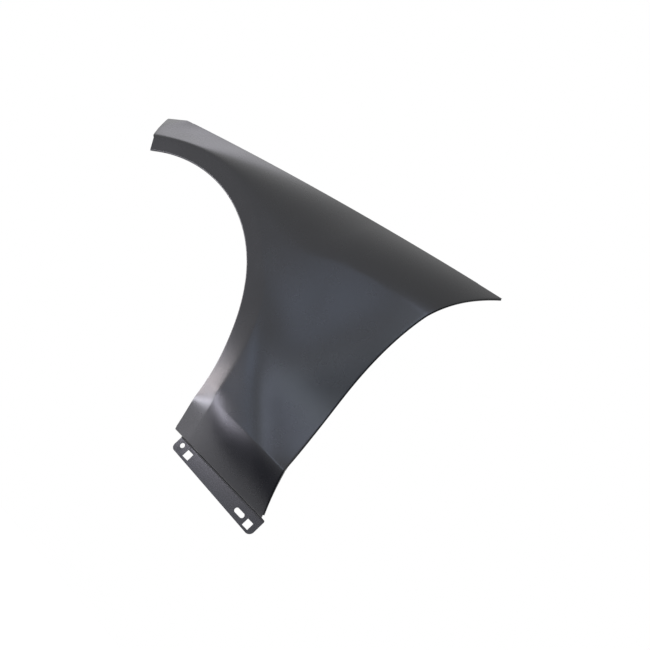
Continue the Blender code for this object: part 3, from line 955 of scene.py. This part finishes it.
@dataclass(frozen=True)
class SillFlange:
    """The ledge under the sill edge and the pierced plate folded down off it."""

    outline: Outline = field(default_factory=Outline)
    tool: FoldTool = field(default_factory=FoldTool)
    inset: float = 58.0 * MM
    front_depth: float = 32.0 * MM
    rear_depth: float = 43.0 * MM
    front_corner: float = 10.0 * MM
    rear_corner: float = 12.0 * MM
    round_hole: float = 10.5 * MM
    square_hole: float = 16.0 * MM
    slot_width: float = 10.5 * MM
    slot_length: float = 26.0 * MM
    round_place: tuple[float, float] = (15.0 * MM, 14.2 * MM)
    front_square_place: tuple[float, float] = (39.2 * MM, 19.7 * MM)
    slot_place: tuple[float, float] = (50.2 * MM, 25.0 * MM)
    rear_square_place: tuple[float, float] = (21.0 * MM, 28.7 * MM)
    corner_steps: int = 12
    overrun: float = 6.0 * MM

    def ledge(self, edge: Row, inner: Row) -> Rows:
        """Gives the ledge's rows, which run inboard off the foot to the plate's upper fold.

        Args:
            edge: The points of the foot's lower edge.
            inner: The next row of points inside it.

        Returns:
            The rows, of which the first is the edge itself.
        """
        inboard = Vector((0.0, 1.0, 0.0))
        columns = []
        for point, (out, normal) in zip(edge, self.tool.frames(edge, inner)):
            turn = math.degrees(math.atan2(-normal.dot(inboard), out.dot(inboard)))
            column = [point, *self.tool.turned(point, out, normal, turn, self.tool.press_radius)]
            end = column[-1].copy()
            end.y = self.inset - self.tool.press_radius
            columns.append([*column, end])
        return as_rows(columns)

    def bottom(self, x: float, front: float, rear: float) -> float:
        """Gives the height of the plate's lower edge, which falls to the rear."""
        share = (x - front) / (rear - front)
        return -self.outline.sill_drop - mix(self.front_depth, self.rear_depth, share)

    def plate(self, edge: Row) -> Rows:
        """Gives the plate's rows, from the ledge's inboard edge down.

        Args:
            edge: The points of the ledge's inboard edge.

        Returns:
            The rows, from the ledge down.
        """
        front, rear = edge[0].x, edge[-1].x
        fold = quarter_fold(self.tool.press_radius, self.tool.steps)
        columns = []
        for point in edge:
            column = [point, *(point + Vector((0.0, ahead, -aside)) for ahead, aside in fold)]
            column.append(Vector((point.x, self.inset, self.bottom(point.x, front, rear))))
            columns.append(column)
        return as_rows(columns)

    def cutters(self, front: float, rear: float) -> list["Cutter"]:
        """Gives the punches of the plate's holes.

        Args:
            front: Place of the plate's front end.
            rear: Place of the plate's rear end.

        Returns:
            One punch for each hole.
        """
        across = Matrix.Rotation(QUARTER_TURN, 4, "X")
        side = self.square_hole
        spots = (
            ("round", self.round_hole, self.round_hole, front, 1.0, self.round_place, False),
            ("slot", self.slot_width, self.slot_length, rear, -1.0, self.slot_place, False),
            ("front_square", side, side, front, 1.0, self.front_square_place, True),
            ("rear_square", side, side, rear, -1.0, self.rear_square_place, True),
        )
        made = []
        for name, width, length, end, way, (inward, drop), square in spots:
            place = Vector((end + way * inward, self.inset, -self.outline.sill_drop - drop))
            made.append(Cutter(name, width, length, Matrix.Translation(place) @ across, square))
        return made

    def corner_profiles(self, front: float, rear: float) -> list[tuple[str, Profile, Vector]]:
        """Gives the outlines, in side view, of the tools that round the plate's lower corners.

        Args:
            front: Place of the plate's front end.
            rear: Place of the plate's rear end.

        Returns:
            Each tool's name, outline and place.
        """
        corners = (
            ("front_corner", self.front_corner, -1.0, front),
            ("rear_corner", self.rear_corner, 1.0, rear),
        )
        made = []
        for name, radius, side, end in corners:
            profile = [
                (-side * radius, -self.overrun),
                (side * self.overrun, -self.overrun),
                (side * self.overrun, radius),
            ]
            for ahead, aside in ((0.0, 0.0), *quarter_fold(radius, self.corner_steps)):
                profile.append((-side * aside, radius - ahead))
            place = Vector((end, self.inset, self.bottom(end - side * radius, front, rear)))
            made.append((name, profile, place))
        return made


@dataclass(frozen=True)
class Cutter:
    """A punch: a bar with round or square ends that pierces the sheet."""

    name: str
    width: float
    length: float
    place: Matrix
    square: bool = False
    segments: int = 48
    depth: float = 12.0 * MM

    def mesh(self) -> bmesh.types.BMesh:
        """Gives the bar, long along X and with its depth along Z, set in its place.

        Returns:
            The closed bar.
        """
        mesh = bmesh.new()
        if self.square:
            bmesh.ops.create_cube(mesh, size=self.width)
            bmesh.ops.scale(mesh, vec=Vector((1.0, 1.0, self.depth / self.width)), verts=mesh.verts)
        else:
            half = 0.5 * self.width
            bmesh.ops.create_cone(
                mesh, cap_ends=True, segments=self.segments, radius1=half, radius2=half, depth=self.depth
            )
            turn = Matrix.Rotation(math.pi / self.segments, 3, "Z")
            bmesh.ops.rotate(mesh, matrix=turn, verts=mesh.verts)
            for vertex in mesh.verts:
                vertex.co.x += math.copysign(0.5 * (self.length - self.width), vertex.co.x)
        bmesh.ops.transform(mesh, matrix=self.place, verts=mesh.verts)
        return mesh


def link_mesh(
    name: str, mesh: bmesh.types.BMesh, collection: bpy.types.Collection | None = None
) -> bpy.types.Object:
    """Makes an object of a mesh and links it.

    Args:
        name: The name of the object and of its mesh.
        mesh: The mesh, which is used up.
        collection: Where the object goes, or none for the scene's own.

    Returns:
        The object.
    """
    data = bpy.data.meshes.new(name)
    mesh.to_mesh(data)
    mesh.free()
    obj = bpy.data.objects.new(name, data)
    (collection or bpy.context.scene.collection).objects.link(obj)
    return obj


def flat_piece(name: str, width: float, height: float, finish: bpy.types.Material) -> bpy.types.Object:
    """Makes a flat studio piece of one face.

    Args:
        name: The piece's name.
        width: Its size along X, in metres.
        height: Its size along Y, in metres.
        finish: Its material.

    Returns:
        The object, at the origin.
    """
    mesh = bmesh.new()
    # A unit square, which the sizes scale.
    bmesh.ops.create_grid(mesh, x_segments=1, y_segments=1, size=0.5)
    bmesh.ops.scale(mesh, vec=Vector((width, height, 1.0)), verts=mesh.verts)
    obj = link_mesh(name, mesh)
    obj.data.materials.append(finish)
    return obj


def new_material(
    name: str, settings: dict[str, object]
) -> tuple[bpy.types.Material, bpy.types.ShaderNodeBsdfPrincipled]:
    """Makes a material and sets its shader's own sockets.

    Args:
        name: The material's name.
        settings: Values by the name of the shader's input.

    Returns:
        The material and its shader.
    """
    material = bpy.data.materials.new(name)
    material.use_nodes = True
    shader = material.node_tree.nodes["Principled BSDF"]
    for socket, value in settings.items():
        shader.inputs[socket].default_value = value
    return material, shader


def add_node(
    tree: bpy.types.NodeTree,
    kind: str,
    settings: dict[str | int, object],
    links: dict[str | int, bpy.types.NodeSocket],
) -> bpy.types.Node:
    """Adds a shader node with its settings and links.

    Args:
        tree: The material's or world's node tree.
        kind: Blender's name of the node type.
        settings: Values by the name of an attribute, and then by the name or number of an input.
        links: Output sockets by the name or number of the input that they feed.

    Returns:
        The new node.
    """
    node = tree.nodes.new(kind)
    for name, value in settings.items():
        if isinstance(name, str) and hasattr(node, name):
            setattr(node, name, value)
        else:
            node.inputs[name].default_value = value
    for name, socket in links.items():
        tree.links.new(socket, node.inputs[name])
    return node


@dataclass(frozen=True)
class ElectrocoatedSteel:
    """Steel dipped in black electrocoat primer and baked: an even satin film with a faint orange peel."""

    name: str = "electrocoated_steel"
    colour: str = "17181b"
    thin_colour: str = "1d1e22"
    roughness: float = 0.27
    ior: float = 1.5
    peel: float = 1.6 * MM
    peel_strength: float = 0.012
    peel_detail: float = 2.0
    cloud: float = 60.0 * MM
    cloud_detail: float = 3.0
    roughness_spread: float = 0.03

    def build(self) -> bpy.types.Material:
        """Gives the material, with the film's cloudiness and its peel at real scale.

        Returns:
            The material.
        """
        material, shader = new_material(self.name, {"IOR": self.ior, "Metallic": 0.0})
        tree = material.node_tree
        place = add_node(tree, "ShaderNodeTexCoord", {}, {}).outputs["Object"]
        # The bath leaves the film a little thicker in some places, which shows as a slow change of shade.
        cloud = add_node(
            tree,
            "ShaderNodeTexNoise",
            {"Scale": 1.0 / self.cloud, "Detail": self.cloud_detail},
            {"Vector": place},
        ).outputs["Fac"]
        shades = {MIX_COLOUR_A: linear_colour(self.colour), MIX_COLOUR_B: linear_colour(self.thin_colour)}
        shade = add_node(tree, "ShaderNodeMix", {"data_type": "RGBA", **shades}, {"Factor": cloud})
        tree.links.new(shade.outputs[MIX_COLOUR_OUT], shader.inputs["Base Color"])
        spread = {
            "To Min": self.roughness - self.roughness_spread,
            "To Max": self.roughness + self.roughness_spread,
        }
        gloss = add_node(tree, "ShaderNodeMapRange", spread, {"Value": cloud})
        tree.links.new(gloss.outputs["Result"], shader.inputs["Roughness"])
        # The film flows as it bakes and leaves a fine orange peel.
        peel = add_node(
            tree,
            "ShaderNodeTexNoise",
            {"Scale": 1.0 / self.peel, "Detail": self.peel_detail},
            {"Vector": place},
        )
        bump = add_node(
            tree,
            "ShaderNodeBump",
            {"Strength": self.peel_strength, "Distance": self.peel},
            {"Height": peel.outputs["Fac"]},
        )
        tree.links.new(bump.outputs["Normal"], shader.inputs["Normal"])
        return material


def seen_share(tree: bpy.types.NodeTree) -> bpy.types.NodeSocket:
    """Adds the nodes that tell the rays that see a background from those that light the panel.

    Args:
        tree: The node tree of the floor's paint or of the world.

    Returns:
        A socket that is 1 for camera, glossy and transmission rays.
    """
    path = add_node(tree, "ShaderNodeLightPath", {}, {})
    seen = path.outputs["Is Camera Ray"]
    for kind in ("Is Glossy Ray", "Is Transmission Ray"):
        either = add_node(
            tree, "ShaderNodeMath", {"operation": "MAXIMUM"}, {0: seen, 1: path.outputs[kind]}
        )
        seen = either.outputs[0]
    return seen


@dataclass(frozen=True)
class PalePaint:
    """Matt studio paint on the floor: plain and pale, and white where it is seen, with its shadow kept."""

    name: str = "pale_floor_paint"
    colour: str = "e4e4e4"
    roughness: float = 0.9
    lift: float = 0.88
    lift_colour: str = "ffffff"

    def build(self) -> bpy.types.Material:
        """Gives the paint. The lift brings the lit floor up to the white of the backdrop.

        Returns:
            The material.
        """
        settings = {
            "Base Color": linear_colour(self.colour),
            "Roughness": self.roughness,
            "Emission Color": linear_colour(self.lift_colour),
        }
        material, shader = new_material(self.name, settings)
        tree = material.node_tree
        raised = add_node(
            tree, "ShaderNodeMath", {"operation": "MULTIPLY", 1: self.lift}, {0: seen_share(tree)}
        )
        tree.links.new(raised.outputs[0], shader.inputs["Emission Strength"])
        return material


@dataclass(frozen=True)
class FenderPanel:
    """The whole panel as one sheet: the skin, its folds, the bonnet gutter and the sill flange."""

    thickness: float = 0.8 * MM
    seat_drop: float = 21.0 * MM
    weld: float = 0.01 * MM
    sharp_deg: float = 38.0
    skin: SkinFields = field(default_factory=SkinFields)
    folds: EdgeFolds = field(default_factory=EdgeFolds)
    gutter: BonnetGutter = field(default_factory=BonnetGutter)
    sill: SillFlange = field(default_factory=SillFlange)
    finish: ElectrocoatedSteel = field(default_factory=ElectrocoatedSteel)

    def build(self) -> bpy.types.Object:
        """Builds the sheet, pierces it, dresses it and lets it ride on the part's one body.

        Returns:
            The sheet's object.
        """
        fields = self.skin.build()
        crown, band, foot = fields["crown"], fields["band"], fields["foot"]
        sheets = [*fields.values(), *self.folds.build(fields)]

        run = [i for i, point in enumerate(crown[-1]) if self.gutter.reaches(point)]
        gutter = self.gutter.build([crown[-1][i] for i in run], [crown[-2][i] for i in run])
        sill_edge = [row[-1] for row in reversed(band)] + foot[0][1:]
        sill_inner = [row[-2] for row in reversed(band)] + foot[1][1:]
        ledge = self.sill.ledge(sill_edge, sill_inner)
        plate = self.sill.plate(ledge[-1][self.skin.inner_band_rows :])
        sheets += [gutter, ledge, plate]

        front, rear = plate[0][0].x, plate[0][-1].x
        origin = self.origin(front, rear)
        mesh = bmesh.new()
        for rows in sheets:
            self.add_rows(mesh, rows)
        bmesh.ops.remove_doubles(mesh, verts=mesh.verts, dist=self.weld)
        bmesh.ops.translate(mesh, vec=-origin, verts=mesh.verts)
        self.wind_outboard(mesh)
        panel = link_mesh("fender_sheet", mesh)

        punches = self.gutter.cutters(gutter[-1]) + self.sill.cutters(front, rear)
        tools = [(punch.name, punch.mesh()) for punch in punches]
        for name, profile, place in self.sill.corner_profiles(front, rear):
            tools.append((name, self.bar(profile, place)))
        self.thicken_and_pierce(panel, tools, origin)

        panel.data.materials.clear()
        panel.data.materials.append(self.finish.build())
        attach(panel, "root")
        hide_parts("fender_panel")
        LOG.info("%s: %d faces", panel.name, len(panel.data.polygons))
        return panel

    def origin(self, front: float, rear: float) -> Vector:
        """Gives the middle of the sill plate's inner face, where the part's frame starts."""
        height = -self.sill.outline.sill_drop - self.seat_drop
        return Vector((0.5 * (front + rear), self.sill.inset + self.thickness, height))

    def add_rows(self, mesh: bmesh.types.BMesh, rows: Rows) -> None:
        """Adds the faces between neighbouring rows of points.

        Args:
            mesh: The mesh that takes the faces.
            rows: The rows, all of one length.
        """
        made = [[mesh.verts.new(point) for point in row] for row in rows]
        for low, high in zip(made, made[1:]):
            for i in range(len(low) - 1):
                mesh.faces.new((low[i], low[i + 1], high[i + 1], high[i]))

    def wind_outboard(self, mesh: bmesh.types.BMesh) -> None:
        """Winds the sheet so that its outer face looks outboard.

        Args:
            mesh: The sheet's mesh.
        """
        bmesh.ops.recalc_face_normals(mesh, faces=mesh.faces)
        if sum(face.normal.y * face.calc_area() for face in mesh.faces) > 0.0:
            bmesh.ops.reverse_faces(mesh, faces=mesh.faces)

    def bar(self, profile: Profile, place: Vector) -> bmesh.types.BMesh:
        """Makes a bar, long along Y, of an outline in side view.

        Args:
            profile: The outline's points, x and z.
            place: Where the outline's own origin goes.

        Returns:
            The closed bar.
        """
        depth = 2.0 * self.sill.overrun
        mesh = bmesh.new()
        face = mesh.faces.new([mesh.verts.new((x, -0.5 * depth, z)) for x, z in profile])
        made = bmesh.ops.extrude_face_region(mesh, geom=[face])
        moved = [item for item in made["geom"] if isinstance(item, bmesh.types.BMVert)]
        bmesh.ops.translate(mesh, vec=Vector((0.0, depth, 0.0)), verts=moved)
        bmesh.ops.recalc_face_normals(mesh, faces=mesh.faces)
        bmesh.ops.translate(mesh, vec=place, verts=mesh.verts)
        return mesh

    def thicken_and_pierce(
        self, panel: bpy.types.Object, tools: list[tuple[str, bmesh.types.BMesh]], origin: Vector
    ) -> None:
        """Gives the sheet its thickness, punches its holes and applies both to the mesh.

        Args:
            panel: The sheet's object.
            tools: Each punch's name and mesh, in the wheel's frame.
            origin: The start of the part's own frame.
        """
        punches = bpy.data.collections.new("punches")
        bpy.context.scene.collection.children.link(punches)
        for name, mesh in tools:
            bmesh.ops.translate(mesh, vec=-origin, verts=mesh.verts)
            link_mesh("punch_" + name, mesh, punches)
        shell = panel.modifiers.new("sheet", "SOLIDIFY")
        shell.thickness = self.thickness
        shell.offset = INBOARD
        shell.use_even_offset = True
        pierce = panel.modifiers.new("pierce", "BOOLEAN")
        pierce.operation = "DIFFERENCE"
        pierce.operand_type = "COLLECTION"
        pierce.collection = punches
        pierce.solver = "EXACT"
        evaluated = panel.evaluated_get(bpy.context.evaluated_depsgraph_get())
        data = bpy.data.meshes.new_from_object(evaluated)
        panel.modifiers.clear()
        panel.data = data
        for punch in list(punches.objects):
            bpy.data.objects.remove(punch, do_unlink=True)
        bpy.data.collections.remove(punches)
        data.set_sharp_from_angle(angle=math.radians(self.sharp_deg))


@dataclass(frozen=True)
class SoftBox:
    """One soft studio lamp, aimed at the panel from a direction given in the picture's own axes."""

    role: LampRole
    way: tuple[float, float, float]
    radiance: float
    colour: str
    size: tuple[float, float] = (500.0 * MM, 500.0 * MM)
    distance: float = 2400.0 * MM

    def build(self, view: "PictureView") -> bpy.types.Object:
        """Adds the lamp, with its power worked out from the radiance of its face.

        Args:
            view: The picture's camera, whose axes place the lamp.

        Returns:
            The lamp's object.
        """
        lamp = bpy.data.lights.new("softbox_" + self.role.value, "AREA")
        lamp.shape = "RECTANGLE"
        lamp.size, lamp.size_y = self.size
        lamp.energy = self.radiance * math.pi * self.size[0] * self.size[1]
        lamp.color = linear_colour(self.colour)[:3]
        obj = bpy.data.objects.new(lamp.name, lamp)
        bpy.context.scene.collection.objects.link(obj)
        view.hang(obj, self.way, self.distance)
        LOG.info("lamp %s", lamp.name)
        return obj


@dataclass(frozen=True)
class DarkCloth:
    """Black cloth hung beside the camera, so that the panel's low side mirrors a dark room."""

    way: tuple[float, float, float]
    distance: float
    side: float
    colour: str = "0d0d0d"
    roughness: float = 0.95

    def build(self, view: "PictureView") -> bpy.types.Object:
        """Hangs the cloth. The camera looks through it, and only the panel mirrors it.

        Args:
            view: The picture's camera, whose axes place the cloth.

        Returns:
            The cloth's object.
        """
        # Matt black cotton gives back almost no light.
        settings = {"Base Color": linear_colour(self.colour), "Roughness": self.roughness}
        material, _ = new_material("black_cloth", settings)
        obj = flat_piece("dark_cloth", self.side, self.side, material)
        view.hang(obj, self.way, self.distance)
        obj.visible_camera = False
        LOG.info("cloth %s", obj.name)
        return obj


@dataclass(frozen=True)
class PictureView:
    """The picture's camera: a long lens, a little below the panel and rolled over."""

    target_place: tuple[float, float, float] = (-79.9 * MM, -18.8 * MM, 368.9 * MM)
    azimuth_deg: float = 29.5
    elevation_deg: float = -7.95
    roll_deg: float = 46.62
    distance: float = 3000.0 * MM
    sensor_mm: float = 36.0
    focal_pixels: float = 1530.6
    picture_pixels: float = 650.0

    def target(self) -> Vector:
        """Gives the point at the middle of the picture."""
        return Vector(self.target_place)

    def axes(self) -> tuple[Vector, Vector, Vector]:
        """Gives the picture's right and up, and the way back to the camera.

        Returns:
            Three unit vectors.
        """
        azimuth, elevation = math.radians(self.azimuth_deg), math.radians(self.elevation_deg)
        roll = math.radians(self.roll_deg)
        back = Vector(
            (
                math.sin(azimuth) * math.cos(elevation),
                -math.cos(azimuth) * math.cos(elevation),
                math.sin(elevation),
            )
        )
        # The level way to the picture's right, before the picture is rolled.
        level = Vector((math.cos(azimuth), math.sin(azimuth), 0.0))
        raised = back.cross(level)
        right = level * math.cos(roll) + raised * math.sin(roll)
        up = raised * math.cos(roll) - level * math.sin(roll)
        return right, up, back

    def hang(self, obj: bpy.types.Object, way: tuple[float, float, float], distance: float) -> None:
        """Puts a studio piece out from the picture's middle, facing back to it.

        Args:
            obj: The lamp or cloth.
            way: Its direction to the picture's right, up and towards the camera.
            distance: How far from the target it hangs, in metres.
        """
        right, up, back = self.axes()
        out = (right * way[0] + up * way[1] + back * way[2]).normalized()
        obj.location = self.target() + out * distance
        obj.rotation_mode = "QUATERNION"
        obj.rotation_quaternion = (-out).to_track_quat("-Z", "Y")

    def build(self) -> bpy.types.Object:
        """Adds the camera and makes it the scene's own.

        Returns:
            The camera's object.
        """
        lens = bpy.data.cameras.new("picture_camera")
        lens.sensor_width = self.sensor_mm
        lens.lens = self.focal_pixels * self.sensor_mm / self.picture_pixels
        obj = bpy.data.objects.new(lens.name, lens)
        bpy.context.scene.collection.objects.link(obj)
        right, up, back = self.axes()
        turn = Matrix((right, up, back)).transposed()
        obj.matrix_world = Matrix.Translation(self.target() + back * self.distance) @ turn.to_4x4()
        bpy.context.scene.camera = obj
        LOG.info("camera %s", obj.name)
        return obj


@dataclass(frozen=True)
class Studio:
    """A plain pale floor, an even world, soft lamps and two dark cloths."""

    view: PictureView
    floor_drop: float = 1000.0 * MM
    floor_size: float = 12000.0 * MM
    paint: PalePaint = field(default_factory=PalePaint)
    world_colour: str = "ffffff"
    world_fill: float = 0.25
    world_seen: float = 1.0
    lamps: tuple[SoftBox, ...] = (
        SoftBox(LampRole.KEY, (-0.92, 0.39, 0.00), 18.00, "f4f2ff", (1600.0 * MM, 300.0 * MM)),
        SoftBox(LampRole.KEY, (-0.77, 0.46, 0.44), 20.00, "f1eeff", (500.0 * MM, 350.0 * MM)),
        SoftBox(LampRole.KEY, (-0.83, 0.52, -0.20), 12.00, "fff5f9", (1000.0 * MM, 300.0 * MM)),
        SoftBox(LampRole.FILL, (-0.48, 0.68, 0.56), 2.60, "bfd6ff"),
        SoftBox(LampRole.FILL, (-0.10, 0.70, 0.70), 3.50, "d2deff"),
        SoftBox(LampRole.FILL, (-0.19, 0.53, 0.82), 4.60, "deecff"),
        SoftBox(LampRole.RIM, (-0.16, 0.75, -0.64), 0.95, "f2eeff"),
        SoftBox(LampRole.RIM, (-0.02, 0.68, -0.73), 0.65, "eeeaff"),
    )
    cloths: tuple[DarkCloth, ...] = (
        DarkCloth((0.0, -0.31, 0.95), distance=3200.0 * MM, side=8000.0 * MM),
        DarkCloth((-0.76, -0.21, 0.58), distance=2100.0 * MM, side=3000.0 * MM),
    )

    def build(self) -> None:
        """Lays the floor, lights the world and hangs the lamps and the cloths."""
        self.floor()
        self.world()
        for piece in (*self.lamps, *self.cloths):
            piece.build(self.view)

    def floor(self) -> bpy.types.Object:
        """Lays the floor well below the panel.

        Returns:
            The floor's object.
        """
        obj = flat_piece("floor", self.floor_size, self.floor_size, self.paint.build())
        obj.location.z = -self.floor_drop
        LOG.info("floor %s", obj.name)
        return obj

    def world(self) -> bpy.types.World:
        """Makes the world white where it is seen and a plain fill where it lights.

        Returns:
            The world.
        """
        world = bpy.data.worlds.new("studio")
        bpy.context.scene.world = world
        world.use_nodes = True
        tree = world.node_tree
        tree.nodes.clear()
        colour = linear_colour(self.world_colour)
        layers: dict[str | int, bpy.types.NodeSocket] = {0: seen_share(tree)}
        for number, strength in enumerate((self.world_fill, self.world_seen), 1):
            light = {"Color": colour, "Strength": strength}
            layers[number] = add_node(tree, "ShaderNodeBackground", light, {}).outputs[0]
        blend = add_node(tree, "ShaderNodeMixShader", {}, layers)
        add_node(tree, "ShaderNodeOutputWorld", {}, {"Surface": blend.outputs[0]})
        return world


def main() -> None:
    """Builds the panel, the camera and the studio in order."""
    logging.basicConfig(level=logging.INFO)
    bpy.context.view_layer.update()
    view = PictureView()
    view.build()
    FenderPanel().build()
    Studio(view).build()
    bpy.context.scene.view_settings.view_transform = "Standard"


if __name__ == "__main__":
    main()
